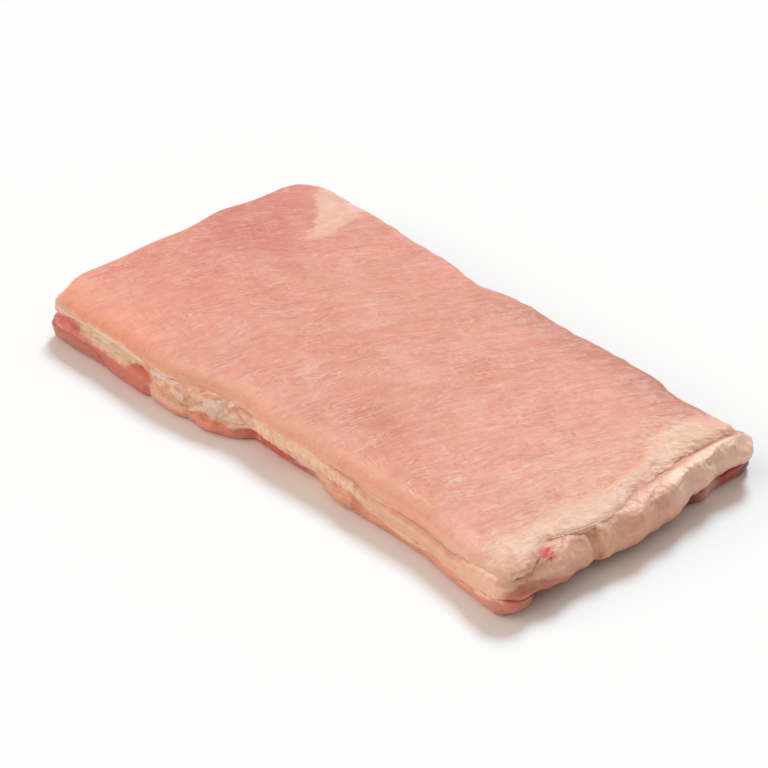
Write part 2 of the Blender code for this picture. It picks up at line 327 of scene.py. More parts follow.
def place(layer, u, v, w):
    """Working position of the point (u, v, w) of a layer's unit box."""
    near, far, left, right = outline(layer)
    y = (1.0 - v) * -118.0 + v * 140.0
    x = (1.0 - u) * end_left(y) + u * base_end(y)
    for _ in range(3):
        y = (1.0 - v) * sheet_near(x) + v * sheet_far(x)
        x = (1.0 - u) * end_left(y) + u * base_end(y)
    x = x + np.clip((u - 0.925) / 0.075, 0.0, 1.0) * (right(y) - base_end(y))
    x = x + np.clip(1.0 - u / 0.034, 0.0, 1.0) * (left(y) - end_left(y))
    if layer == "lean_top":
        low, high = sheet_floor(x, y), top_height(x, y)
    elif layer == "fat_layer":
        low, high = base_top(x, y), sheet_floor(x, y)
    else:
        low, high = 0.0 * x, base_top(x, y)
    z0 = low + w * (high - low)
    shift_near, shift_far = side_shift(x, y, z0, True), side_shift(x, y, z0, False)
    to_near, to_far = np.clip(1.0 - v / 0.085, 0.0, 1.0), np.clip((v - 0.9) / 0.1, 0.0, 1.0)
    dl, dr = x - left(y), right(y) - x
    soft = 5.0 if layer == "fat_layer" else 0.0
    near_cut = round_off(dl, CORNER_NL) + round_off(dr, CORNER_NR + soft)
    far_cut = round_off(dl, CORNER_FL) + round_off(dr, {"lean_base": 10.0, "fat_layer": 21.0, "lean_top": 12.0}[layer])
    y_near = sheet_near(x) + shift_near + near_cut
    y_far = sheet_far(x) + shift_far - far_cut
    y = y + (1.0 - v) * near_cut - v * far_cut
    y = y + to_near * shift_near + to_far * shift_far

    reach = np.clip((u - 0.925) / 0.075, 0.0, 1.0)
    wiggle = 2.6 * noise(y / 13.0, 0.3, 0.7, 91) + 1.7 * noise(y / 4.6, 0.1, 0.2, 92)
    if layer == "lean_top":
        x = x + reach**3 * wiggle
    if layer == "fat_layer":
        x = x - reach * 4.0 * rise(w, 0.45, 1.0)
        x = x - reach * 2.5 * hump(w, 0.55, 0.12) * hump(y, -75.0, 30.0)
    if layer == "lean_base":
        x = x + reach * 5.0 * rise(w, 0.1, 0.6) * (1.0 - rise(y, -100.0, -76.0))
        x = x + reach * 1.2 * window(y, 100.0, 150.0, 6.0)

    flush = np.where(v < 0.5, soft_side(x, True), soft_side(x, False))
    if layer == "lean_top":
        floor, roof = sheet_floor(x, y) + 0.05, top_height(x, y)
        low_r, high_r = (0.2 + 1.3 * (1 - flush),) * 2, (EDGE_TOP, 0.86 * SHEET_T)
        end_low, end_high = (1.5, 1.5), (6.5, 2.3)
    elif layer == "fat_layer":
        outside = np.clip((u - 0.981) / 0.009, 0.0, 1.0)
        floor = base_top(x, y) + 0.05 - droop(y) * outside
        roof = sheet_floor(x, y) - 0.05 + roll_lift(x, y)
        thick = roof - floor
        flat = window(y, 2.0, 100.0, 12.0)
        low_r = (lerp(0.32 * thick, 0.8, flush), lerp(0.42 * thick, 0.8, flush))
        high_r = (lerp(0.30 * thick, 0.5, flush), lerp(0.42 * thick, 0.5, flush))
        end_low, end_high = (0.54 * thick, 0.42 * thick), (lerp(0.40, 0.22, flat) * thick, lerp(0.36, 0.25, flat) * thick)
    else:
        floor, roof = 0.0 * x, base_top(x, y) - 0.05
        low_r, high_r = (EDGE_BASE, EDGE_BASE), (lerp(2.5, 0.7, flush),) * 2
        end_low, end_high = (EDGE_BASE, EDGE_BASE), (2.5, 2.5)
    z = floor + w * (roof - floor)

    x_right = right(y) + wiggle if layer == "lean_top" else x + (1.0 - u) * (right(y) - left(y))
    sides = [[y - y_near, 0], [y_far - y, 0], [x - left(y), 1], [x_right - x, 1]]
    sign = (1.0, -1.0, 1.0, -1.0)
    for k, (depth, is_end) in enumerate(sides):
        pair = (end_low, end_high) if k == 3 else (low_r, high_r)
        if k == 0 and layer == "lean_top":
            pair = (low_r, (17.0, 0.86 * SHEET_T))
        for at_roof, (re, rh) in enumerate(pair):
            depth_z = roof - z if at_roof else z - floor
            e2, h2 = rounded(depth, depth_z, re, rh)
            shift = (e2 - depth) * sign[k]
            if is_end:
                x = x + shift
            else:
                y = y + shift
            z = roof - h2 if at_roof else floor + h2
            depth = e2
    return np.stack([x, y, z], -1)


# --- meshes: fine skin where it shows, coarse inside -------------------------------


def spaced(total, left_steps, right_steps, mid):
    """Fractions from 0 to 1: the given steps from each end, in mm, and mid in between."""
    a, b = np.cumsum([0.0] + list(left_steps)), np.cumsum([0.0] + list(right_steps))
    room = total - a[-1] - b[-1]
    n = max(1, int(round(room / mid)))
    inner = a[-1] + room * np.arange(1, n) / n
    return np.concatenate([a, inner, total - b[::-1]]) / total


def arc_steps(r, upto, step, rest, cell):
    """Steps that follow a plan corner of radius r evenly, then grow to cell over rest mm."""
    n = int(math.degrees(math.acos(1.0 - upto / r)) * math.pi / 180.0 * r / step)
    th = np.linspace(0.0, math.acos(1.0 - upto / r), n + 1)
    d = r * (1.0 - np.cos(th))
    return list(np.diff(d)) + [cell] * int(rest / cell)


LONG, WIDE = 505.0, 255.0


class Skin:
    """Points with their box coordinates, and faces with their map coordinates."""

    def __init__(self, layer, us, vs, strips, reach):
        self.layer, self.us, self.vs = layer, us, vs
        self.nu, self.nv = len(us), len(vs)
        self.strips, self.reach = strips, reach
        self.uvw, self.quads, self.quad_uv, self.polys, self.poly_uv = [], [], [], [], []
        self.count = 0
        gu, gv = np.meshgrid(us, vs, indexing="ij")
        self.bu, self.bv = self.border(gu), self.border(gv)

    def add(self, u, v, w):
        u, v, w = np.broadcast_arrays(np.asarray(u, float), v, w)
        ids = self.count + np.arange(u.size).reshape(u.shape)
        self.uvw.append(np.stack([u.ravel(), v.ravel(), w.ravel()], 1))
        self.count += u.size
        return ids

    def border(self, ids):
        """The closed border loop of an (nu, nv) grid, anticlockwise seen from +Z."""
        return np.concatenate([ids[:, 0], ids[-1, 1:], ids[-2::-1, -1], ids[0, -2:0:-1]])

    def square(self, inset_mm=0.0):
        """Box coordinates (u, v) of the border loop, moved inwards by inset_mm."""
        du, dv = inset_mm / LONG, inset_mm / WIDE
        return du + self.bu * (1 - 2 * du), dv + self.bv * (1 - 2 * dv)

    def frame_uv(self, u, v, t):
        """Map position around a flat face: t mm outwards from its border, walls unfolded."""
        full_u, full_v = LONG + 2 * self.reach, WIDE + 2 * self.reach
        a = (self.reach - t + u * (LONG + 2 * t)) / full_u
        b = (self.reach - t + v * (WIDE + 2 * t)) / full_v
        return np.stack([0.006 + 0.984 * a, 0.006 + 0.984 * b], -1)

    def strip_uv(self, i, start, t):
        """Map position of an end of border edge i, t mm along the profile, in three rows."""
        nu, nv = self.nu, self.nv
        n = 2 * (nu + nv) - 4
        k = i if start else (i + 1) % n
        u, v = self.bu[k], self.bv[k]
        near, right, far = i < nu - 1, i < nu + nv - 2, i < 2 * nu + nv - 3
        pos = np.where(near, u * LONG, np.where(right, v * WIDE, np.where(far, (1 - u) * LONG, 0)))
        back = np.where(k == 0, 1.0, 1.0 - v) * WIDE + WIDE + 6.0
        pos = np.where(near | right | far, pos, back)
        row = np.where(near, 0.0, np.where(right, 2.0, np.where(far, 1.0, 2.0)))
        tall = self.reach + 5.0
        return np.stack([0.006 + 0.98 * pos / (2 * WIDE + 10.0), 0.006 + 0.98 * (row * tall + t) / (3 * tall)], -1)

    def lay(self, i, start, t):
        if self.strips:
            return self.strip_uv(i, start, t)
        k = i if start else (i + 1) % len(self.bu)
        return self.frame_uv(self.bu[k], self.bv[k], t)

    def band(self, a, b, ta, tb):
        """Quads between two loops. a is the outer or upper one, so that faces look out."""
        i = np.arange(len(a))
        self.quads.append(np.stack([a, b, np.roll(b, -1), np.roll(a, -1)], 1))
        corners = [self.lay(i, True, ta), self.lay(i, True, tb), self.lay(i, False, tb), self.lay(i, False, ta)]
        self.quad_uv.append(np.stack(corners, 1))

    def grid(self, ids, up=True, uv=None):
        q = np.stack([ids[:-1, :-1], ids[1:, :-1], ids[1:, 1:], ids[:-1, 1:]], -1).reshape(-1, 4)
        if uv is None:
            uv = self.frame_uv(*np.meshgrid(self.us, self.vs, indexing="ij"), 0.0)
        m = np.stack([uv[:-1, :-1], uv[1:, :-1], uv[1:, 1:], uv[:-1, 1:]], -2).reshape(-1, 4, 2)
        self.quads.append(q if up else q[:, ::-1])
        self.quad_uv.append(m if up else m[:, ::-1])

    def cap(self, loop, w, inset_mm, rows=6, up=False):
        """Closes a hidden border loop with a few coarse rows, in a corner of the map."""
        nu, nv = self.nu, self.nv
        near = loop[:nu]
        right = loop[nu - 1 : nu + nv - 1]
        far = loop[nu + nv - 2 : 2 * nu + nv - 2][::-1]
        left = np.concatenate([loop[:1], loop[2 * nu + nv - 3 :][::-1]])
        js = np.linspace(0, nv - 1, rows).round().astype(int)
        du, dv = inset_mm / LONG, inset_mm / WIDE
        gu, gv = np.meshgrid(self.us[1:-1], self.vs[js[1:-1]], indexing="ij")
        inner = self.add(du + gu * (1 - 2 * du), dv + gv * (1 - 2 * dv), w)
        full = np.concatenate([near[1:-1, None], inner, far[1:-1, None]], 1)
        cu, cv = np.meshgrid(self.us[1:-1], self.vs[js], indexing="ij")
        self.grid(full, up, np.stack([0.9935 + 0.005 * cu, 0.9935 + 0.005 * cv], -1))
        for k in range(rows - 1):
            a, b = js[k], js[k + 1]
            for wall, col, flip in ((left, full[0], False), (right, full[-1], True)):
                face = list(wall[a : b + 1][::-1]) + [col[k], col[k + 1]]
                at = 0.9935 if not flip else 0.9985
                uv = [(at, 0.9935 + 0.005 * self.vs[m]) for m in range(a, b + 1)][::-1]
                uv += [(at, 0.9935 + 0.005 * self.vs[a]), (at, 0.9935 + 0.005 * self.vs[b])]
                if flip:
                    face, uv = face[::-1], uv[::-1]
                if not up:
                    face, uv = face[::-1], uv[::-1]
                self.polys.append(face)
                self.poly_uv.append(uv)

    def points(self):
        uvw = np.concatenate(self.uvw)
        return place(self.layer, uvw[:, 0], uvw[:, 1], uvw[:, 2]), uvw


def normals_of(co, quads):
    p = co[quads]
    n = np.cross(p[:, 2] - p[:, 0], p[:, 3] - p[:, 1])
    out = np.zeros_like(co)
    for k in range(4):
        np.add.at(out, quads[:, k], n)
    return out / np.maximum(np.linalg.norm(out, axis=1, keepdims=True), 1e-12)


def to_mesh(name, co, skin, attributes):
    mesh = bpy.data.meshes.new(name)
    quads = np.concatenate(skin.quads)
    sizes = np.concatenate([np.full(len(quads), 4), [len(p) for p in skin.polys]]).astype(np.int32)
    loops = np.concatenate([quads.ravel()] + [np.asarray(p) for p in skin.polys]).astype(np.int32)
    uv = np.concatenate([np.concatenate(skin.quad_uv).reshape(-1, 2)] + [np.asarray(p) for p in skin.poly_uv])
    mesh.vertices.add(len(co))
    mesh.vertices.foreach_set("co", (co * MM).ravel().astype(np.float32))
    mesh.loops.add(len(loops))
    mesh.loops.foreach_set("vertex_index", loops)
    mesh.polygons.add(len(sizes))
    mesh.polygons.foreach_set("loop_start", np.concatenate([[0], np.cumsum(sizes)[:-1]]).astype(np.int32))
    mesh.polygons.foreach_set("use_smooth", np.ones(len(sizes), bool))
    mesh.update(calc_edges=True)
    for key, values in attributes.items():
        values = np.asarray(values, np.float32)
        if values.ndim == 1:
            mesh.attributes.new(key, "FLOAT", "POINT").data.foreach_set("value", values)
        elif key == "fib":
            mesh.attributes.new(key, "FLOAT_VECTOR", "POINT").data.foreach_set("vector", values.ravel())
        else:
            rgba = np.concatenate([values, np.ones((len(values), 1), np.float32)], 1)
            mesh.attributes.new(key, "FLOAT_COLOR", "POINT").data.foreach_set("color", rgba.ravel())
    mesh.uv_layers.new(name="OFBake").data.foreach_set("uv", uv.astype(np.float32).ravel())
    mesh.validate()
    obj = bpy.data.objects.new(name, mesh)
    bpy.context.scene.collection.objects.link(obj)
    return obj


# --- tissue fields ------------------------------------------------------------

# Where the pink of the upper sheet gives way to cream fat: (position across, along)
CREAM_LINE = [
    (-135.0, 199.0), (-92.0, 201.0), (-80.0, 207.0), (-54.0, 205.0), (-24.0, 206.0), (-10.0, 212.0),
    (20.0, 210.0), (36.0, 210.0), (48.0, 206.0), (60.0, 193.0), (74.0, 187.0), (99.0, 184.0),
    (110.0, 189.0), (120.0, 194.0), (132.0, 200.0), (145.0, 204.0),
]

# Creases: (polyline in working coordinates, half-width, depth)
CLEFT = ([(-136.0, -124.0, 26.0), (-130.0, -127.0, 17.0), (-130.0, -129.0, 9.0), (-131.0, -128.0, 0.0)], 2.0, 2.2)
NOTCH = ([(240.0, -34.0, 35.0), (244.0, -33.0, 25.0), (246.0, -32.0, 19.0), (246.0, -33.0, 11.0)], 2.6, 3.6)
SHEET_CREASES = [
    ([(184.0, 91.0, 34.0), (191.0, 75.0, 36.0), (193.0, 62.0, 34.0), (201.0, 51.0, 34.0), (212.0, 44.0, 35.0)], 2.6, 0.9),
    ([(212.0, 34.0, 34.0), (211.0, 14.0, 34.0), (212.0, 2.0, 34.0), (208.0, -15.0, 33.0), (206.0, -25.0, 33.0)], 2.8, 0.6),
    ([(232.0, 3.0, 33.0), (224.0, 8.0, 34.0), (217.0, 18.0, 34.5)], 1.6, 0.7),
    ([(226.0, 43.0, 33.0), (219.0, 48.0, 34.0), (214.0, 58.0, 34.5)], 1.5, 0.7),
]
FAT_CREASES = [
    NOTCH,
    ([(232.0, 113.0, 32.0), (237.0, 97.0, 30.0), (241.0, 80.0, 29.0), (243.0, 65.0, 27.0), (246.0, 48.0, 24.0), (250.0, 32.0, 21.0)], 2.4, 0.35),
    ([(234.0, -54.0, 34.0), (240.0, -62.0, 29.0), (243.0, -74.0, 27.0), (242.0, -84.0, 26.0)], 1.6, 1.1),
    ([(247.0, -82.0, 16.0), (247.0, -93.0, 17.0), (247.0, -107.0, 20.0), (245.0, -115.0, 20.0)], 1.5, 1.0),
    ([(238.0, 22.0, 33.0), (244.0, 14.0, 26.0), (250.0, 2.0, 20.0), (251.0, -12.0, 18.0)], 2.0, 1.3),
    ([(231.0, 40.0, 34.5), (238.0, 33.0, 34.0), (243.0, 22.0, 31.0)], 1.7, 1.2),
    ([(233.0, 8.0, 34.0), (239.0, 12.0, 33.0), (246.0, 10.0, 28.0)], 1.5, 1.0),
    ([(229.0, 88.0, 34.5), (236.0, 84.0, 34.0), (242.0, 86.0, 29.0)], 1.5, 0.7),
    ([(237.0, -51.0, 34.0), (244.0, -56.0, 30.0), (249.0, -57.0, 22.0)], 1.6, 0.9),
    CLEFT,
]
BASE_CREASES = [
    CLEFT,
    ([(-252.0, -128.0, 13.5), (-241.0, -131.0, 13.0), (-228.0, -131.0, 11.0), (-215.0, -130.0, 12.0), (-199.0, -130.0, 12.0), (-186.0, -130.0, 6.0), (-181.0, -128.0, 0.0)], 1.5, 2.0),
    ([(-86.0, -126.0, 9.0), (-88.0, -124.0, 0.0)], 1.8, 2.2),
    ([(-42.0, -114.0, 11.0), (-43.0, -116.0, 4.0), (-44.0, -117.0, 0.0)], 2.0, 1.8),
    ([(30.0, -114.0, 9.0), (29.0, -113.0, 0.0)], 1.8, 1.6),
    ([(79.0, -115.0, 12.0), (78.0, -115.0, 0.0)], 1.6, 1.2),
]
# Bulges of the lean on the near side: centre along, centre height, half-sizes, height
LOBES = [
    (-196.0, 15.5, 58.0, 5.0, 1.5), (-222.0, 5.5, 34.0, 5.0, 0.6), (-160.0, 6.0, 24.0, 8.0, 0.8),
    (-109.0, 7.0, 18.0, 7.0, 1.2), (-64.0, 5.0, 19.0, 5.5, 1.6), (54.0, 7.0, 20.0, 7.0, 1.4), (150.0, 4.0, 60.0, 4.0, 0.4),
]
RED_SPOT = np.array([236.0, -75.0, 31.0])


def fibre(x, y):
    """Across-fibre and along-fibre coordinates of the upper sheet, in mm."""
    bend = 0.12 * y + 0.225 * (y - 5.0 + np.sqrt((y - 5.0) ** 2 + 3600.0))
    wander = 5.0 * noise(x / 55.0, y / 55.0, 0.5, 3) + 1.5 * noise(x / 18.0, y / 18.0, 0.5, 4)
    return x - bend + wander, y * 1.15 + 0.4 * x


def cream_line(y):
    along, reach = np.array(CREAM_LINE).T
    return np.interp(y, along, reach)


def fatness(x, y):
    """Signed: above 0 the sheet is covered by fat."""
    end = (x - cream_line(y)) / 15.0
    axis = -183.0 - 29.0 * rise(y, 78.0, 142.0)
    half = 2.0 + 27.0 * rise(y, 62.0, 146.0)
    patch = (half - np.abs(x - axis)) / 9.0 - 1.2 * (1.0 - rise(y, 62.0, 84.0))
    sliver = (3.5 - (x - end_left(y))) / 3.0 * 1.0 - 2.0 * (1.0 - window(y, -28.0, 10.0, 8.0))
    return np.maximum(np.maximum(end, patch), sliver)


def blend(col, target, weight):
    return col + (target - col) * np.clip(weight, 0.0, 1.0)[:, None]


# Cream strip along the near side: (position along, its upper edge, its lower edge), heights
STRIP = [
    (-270.0, 32.0, 12.0), (-250.0, 31.5, 17.0), (-242.0, 31.0, 20.5), (-233.0, 28.5, 22.5), (-223.0, 26.5, 22.0), (-211.0, 26.5, 19.0),
    (-196.0, 27.5, 17.5), (-178.0, 27.0, 16.5), (-167.0, 28.0, 16.0), (-155.0, 27.0, 17.0), (-148.0, 25.5, 20.5), (-141.0, 27.0, 19.0),
    (-133.0, 27.0, 20.0), (-125.0, 27.0, 16.0), (-106.0, 26.0, 14.0), (-98.0, 26.0, 10.5), (-86.0, 25.5, 8.5),
    (-76.0, 25.0, 11.5), (-68.0, 25.0, 9.0), (-49.0, 27.0, 9.0), (-40.0, 24.0, 10.0), (-21.0, 24.5, 15.5),
    (6.0, 25.5, 14.0), (18.0, 26.0, 6.0), (28.0, 26.0, 7.0), (38.0, 24.0, 10.0), (57.0, 23.0, 14.0), (70.0, 22.5, 17.0),
    (81.0, 22.0, 16.5), (94.0, 21.5, 10.0), (103.0, 20.5, 8.0), (121.0, 19.0, 7.0), (148.0, 18.0, 5.5),
    (160.0, 17.5, 8.0), (187.0, 18.0, 7.5), (196.0, 25.0, 7.0), (205.0, 30.0, 8.0), (219.0, 33.0, 8.5),
    (231.0, 34.0, 11.0), (245.0, 34.0, 14.0),
]


def strip_edges(x, y, z):
    along, top, low = np.array(STRIP).T
    jag = 1.7 * noise(x / 7.0, z / 9.0, y / 9.0, 71) + 0.6 * noise(x / 3.1, z / 3.5, 0.3, 72)
    jag = jag * (1.0 + 0.8 * window(x, -236.0, 30.0, 8.0))
    return np.interp(x, along, top) + jag, np.interp(x, along, low) + 0.7 * noise(x / 5.0, z / 7.0, 0.6, 73)


def lean_wall(x, y, z):
    """Colours of the lean at the foot of the near side."""
    col = np.tile(srgb(214, 140, 118), (len(x), 1))
    t = window(x, -300.0, -133.0, 3.0)
    seam = np.interp(x, [-262, -241, -228, -215, -199, -186, -181], [14, 13, 11, 12, 12, 6, 0]) + 0.8 * noise(x / 9.0, 0.0, 0.0, 52)
    col = blend(col, srgb(214, 120, 107), t)
    col = blend(col, srgb(226, 140, 128), t * hump(z, 17.5, 3.0) * rise(noise(x / 14.0, z / 6.0, 0.0, 56), -0.2, 0.3) * 0.7)
    col = blend(col, srgb(196, 122, 104), t * (1 - rise(z, seam - 0.9, seam + 0.9)))
    # painted shade: a darker line along the crease between the lower lobes
    col = blend(col, srgb(172, 88, 76), t * hump(z, 0.0, 1.2) * 0.0 + t * np.exp(-(((z - seam) / 0.9) ** 2)) * 0.55)
    # the peach mass and the red lobe in their own tones, made paler as painted light where they bulge out
    col = blend(col, srgb(234, 184, 162), window(x, -131.0, -84.0, 4.0))
    col = blend(col, srgb(222, 140, 118), window(x, -131.0, -84.0, 4.0) * (1 - rise(z, 3.0, 8.0)) * 0.8)
    col = blend(col, srgb(226, 144, 126), window(x, -84.0, -42.0, 4.0))
    col = blend(col, srgb(206, 98, 84), window(x, -38.0, 30.0, 4.0))
    col = blend(col, srgb(216, 150, 130), window(x, -38.0, 30.0, 4.0) * rise(noise(x / 6.0, z / 4.0, 0.0, 57), 0.05, 0.3) * 0.8)
    col = blend(col, srgb(228, 172, 144), window(x, 34.0, 80.0, 4.0))
    col = blend(col, srgb(224, 156, 134), rise(x, 82.0, 100.0))
    col = blend(col, srgb(200, 134, 112), rise(x, 222.0, 238.0) * 0.8)
    return col


def side_paint(co, col, near):
    """The cream strip and the lean below it run over the near side whatever layer is there."""
    x, y, z = co.T
    top, low = strip_edges(x, y, z)
    soft = 0.6 + 2.2 * rise(x, 104.0, 150.0) + 1.5 * (1 - rise(x, -240.0, -225.0))
    inside = rise(z, low - 0.7, low + 0.7) * (1 - rise(z, top - soft, top + soft))
    cream = np.tile(srgb(242, 206, 182), (len(x), 1))
    cream = blend(cream, srgb(226, 172, 148), window(x, -226.0, -30.0, 6.0) * rise(noise(x / 8.0, z / 5.0, y / 8.0, 74), -0.15, 0.2))
    cream = blend(cream, srgb(240, 208, 184), window(x, -226.0, -150.0, 5.0) * rise(z, 17.0, 19.0))
    cream = blend(cream, srgb(224, 156, 134), window(x, -222.0, -134.0, 4.0) * (1 - rise(z, 16.5, 18.5)) * 0.7)
    cream = blend(cream, srgb(234, 192, 166), window(x, 100.0, 196.0, 8.0))
    cream = blend(cream, srgb(238, 194, 172), rise(x, 190.0, 206.0))
    cream = blend(cream, srgb(228, 184, 162), 1 - rise(x, -236.0, -222.0))
    col = blend(col, cream, near * inside)
    # a paler strip, with painted shade darkening the grooves of its crimps
    phase = x + 0.6 * z + 6.5 * noise(x / 13.0, z / 8.0, 0, 46)
    crimp = window(x, -46.0, 104.0, 6.0) * np.abs(np.cos(phase * math.pi / 7.5)) ** 5 * rise(noise(x / 9.0, z / 9.0, 0, 40), -0.5, 0.3)
    col = blend(col, srgb(214, 160, 134), near * inside * crimp * 0.5)
    below = 1 - rise(z, low - 0.8, low + 0.8)
    col = col + (lean_wall(x, y, z) - col) * (near * below)[:, None]
    # painted light: the colour is brightened along the partings between the layers, so that their crevices look no
    # darker
    seam = np.exp(-(((z - sheet_floor(x, y)) / 0.9) ** 2)) + 0.8 * np.exp(-(((z - base_top(x, y)) / 0.9) ** 2))
    return np.minimum(col * (1 + 0.24 * near * seam)[:, None], 0.92)


def sheet_colour(co):
    x, y, z = co.T
    e_near = y - sheet_near(x)
    e_far = sheet_far(x) - y
    col = np.tile(srgb(222, 150, 126), (len(x), 1))
    col = blend(col, srgb(226, 142, 120), 0.8 * (1 - rise(x, -190.0, -90.0)) * (1 - rise(y, -60.0, 60.0)))
    col = blend(col, srgb(208, 116, 104), 1.1 * np.exp(-(((x + 236.0) / 62.0) ** 2) - ((y - 62.0) / 58.0) ** 2))
    col = blend(col, srgb(226, 160, 138), 0.5 * np.exp(-(((x - 8.0) / 75.0) ** 2) - ((y + 5.0) / 60.0) ** 2))
    col = blend(col, srgb(208, 128, 102), 0.8 * np.exp(-(((x - 48.0) / 24.0) ** 2) - ((y + 56.0) / 11.0) ** 2))
    col = blend(col, srgb(219, 158, 136), 0.7 * rise(x, 105.0, 190.0) * rise(e_near, 12.0, 50.0))
    col = blend(col, srgb(186, 114, 91), 0.95 * (1 - rise(e_far, 4.0, 45.0)) * rise(x, -90.0, 60.0) * (1 - rise(x, 200.0, 225.0)))
    # the orange bevel of the near side: its own tone, made paler as painted light where the rounding turns away from
    # the lamp
    band = 1 - rise(e_near, 8.0, 20.0)
    col = blend(col, srgb(240, 176, 154), band * (1 - rise(x, -200.0, -120.0)))
    col = blend(col, srgb(236, 182, 160), band * window(x, -150.0, 150.0, 40.0))
    col = blend(col, srgb(238, 194, 178), band * rise(x, 110.0, 190.0))
    col = blend(col, srgb(210, 140, 115), (1 - rise(e_far, 0.0, 8.0)) * 0.5)
    # paler orange pink at the near left of the top: partly its own tone, partly painted sheen
    col = blend(col, srgb(240, 168, 144), 0.7 * (1 - rise(x, -170.0, -110.0)) * (1 - rise(e_near, 20.0, 60.0)))
    # a pale pink patch towards the lip: partly pale film, partly painted sheen
    col = blend(col, srgb(228, 172, 151), 0.7 * np.exp(-(((x - 176.0) / 26.0) ** 2) - ((y - 5.0) / 52.0) ** 2))
    col = col * np.array([1.01, 0.955, 0.91])
    return side_paint(co, col, 1 - rise(e_near, 13.0, 16.0))


def fat_colour(co, at_end, on_near):
    x, y, z = co.T
    col = np.tile(srgb(224, 172, 144), (len(x), 1))
    col = blend(col, srgb(234, 194, 168), at_end)
    col = blend(col, srgb(228, 176, 154), at_end * hump(y, 10.0, 40.0) * 0.8)
    # painted light: the upper face of the end roll, towards the far corner, made paler
    col = blend(col, srgb(246, 216, 194), at_end * rise(y, 25.0, 60.0) * rise(z, 14.0, 24.0) * 0.7)
    # painted shade: the end roll darker towards its bottom
    low = 1 - rise(z, 10.0, 24.0)
    col = blend(col, srgb(214, 158, 130), at_end * low * 0.8)
    # thin lean under the roll near the corner, browner where it is shaded
    wedge = np.interp(y, [-125, -114, -107, -93, -82, -60, -45], [21, 22, 24, 22, 18, 13, 7])
    col = blend(col, srgb(196, 122, 100), at_end * (1 - rise(z, wedge - 1.0, wedge + 1.0)) * (1 - rise(y, -60.0, -44.0)))
    col = blend(col, srgb(222, 168, 158), at_end * np.exp(-(((y - 27.0) / 9.0) ** 2) - ((z - 27.0) / 5.0) ** 2) * 0.8)
    # painted contact shadow: the lowest few mm of the end roll darkened to a deep brown
    col = blend(col, srgb(104, 50, 36), at_end * (1 - rise(z, 4.0, 8.5)) * window(y, -70.0, 130.0, 10.0))
    lip = x - sheet_end(y)
    # painted shade: a darker pinkish brown band along the crease at the lip
    col = blend(col, srgb(212, 154, 134), 0.85 * np.exp(-((lip / 2.6) ** 2)) * rise(z, 24.0, 29.0))
    return side_paint(co, col, on_near * (1 - at_end * rise(x, 236.0, 244.0)))


def film_spots(co):
    x, y, z = co.T
    spots = 0.0 * x
    for cx, cz, rx, rz in ((-121.0, 24.0, 9.0, 3.6), (-99.0, 15.0, 6.0, 4.0), (-66.0, 17.0, 12.0, 7.0), (-52.0, 13.0, 6.0, 5.0)):
        spots = np.maximum(spots, np.exp(-(((x - cx) / rx) ** 2) - ((z - cz) / rz) ** 2))
    return spots


def base_colour(co):
    x, y, z = co.T
    col = np.tile(srgb(206, 128, 108), (len(x), 1))
    back = rise(y - sheet_near(x), 8.0, 24.0)
    # painted shade: the lean end recessed under the roll coloured a near-black maroon
    col = blend(col, srgb(112, 40, 27), back * rise(x, 205.0, 228.0) * 0.97)
    col = blend(col, srgb(190, 104, 88), back * (1 - rise(x, 190.0, 225.0)))
    col = blend(col, srgb(222, 164, 148), np.exp(-(((y - 89.0) / 12.0) ** 2)) * rise(x, 225.0, 236.0))
    col = blend(col, srgb(170, 80, 54), window(y, 103.0, 121.0, 4.0) * rise(x, 205.0, 228.0))
    col = blend(col, srgb(168, 66, 34), rise(y, 119.0, 127.0) * rise(x, 205.0, 228.0) * rise(z, 4.0, 9.0))
    return side_paint(co, col, 1 - back)


# --- the three pieces ----------------------------------------------------------


def far_from(co, line):
    """Distance of each point from a polyline, and the fraction along it."""
    best = np.full(len(co), 1e9)
    where = np.zeros(len(co))
    line = np.asarray(line, float)
    steps = np.linalg.norm(np.diff(line, axis=0), axis=1)
    total, done = steps.sum(), 0.0
    for a, b, size in zip(line[:-1], line[1:], steps):
        t = np.clip(((co - a) @ (b - a)) / size**2, 0.0, 1.0)
        d = np.linalg.norm(co - a - t[:, None] * (b - a), axis=1)
        closer = d < best
        best = np.where(closer, d, best)
        where = np.where(closer, (done + t * size) / total, where)
        done += size
    return best, where


def crease(co, line, half, deep, lips=0.3, ragged=1.0, seed=60):
    """Height change of a crease along a polyline: a narrow valley with soft lips."""
    x, y, z = co.T
    jig = np.stack([noise(x / 6.0, y / 6.0, z / 6.0 + k, seed + k) for k in range(3)], 1)
    d, t = far_from(co + ragged * jig, line)
    ends = rise(t, -0.02, 0.12) * (1.0 - rise(t, 0.88, 1.02))
    return ends * deep * (lips * np.exp(-(((d - 2.4 * half) / (1.7 * half)) ** 2)) - np.exp(-((d / half) ** 1.25)))


def ridged(x, y, z, seed):
    return 0.55 - np.sqrt(noise(x, y, z, seed) ** 2 + 0.006)


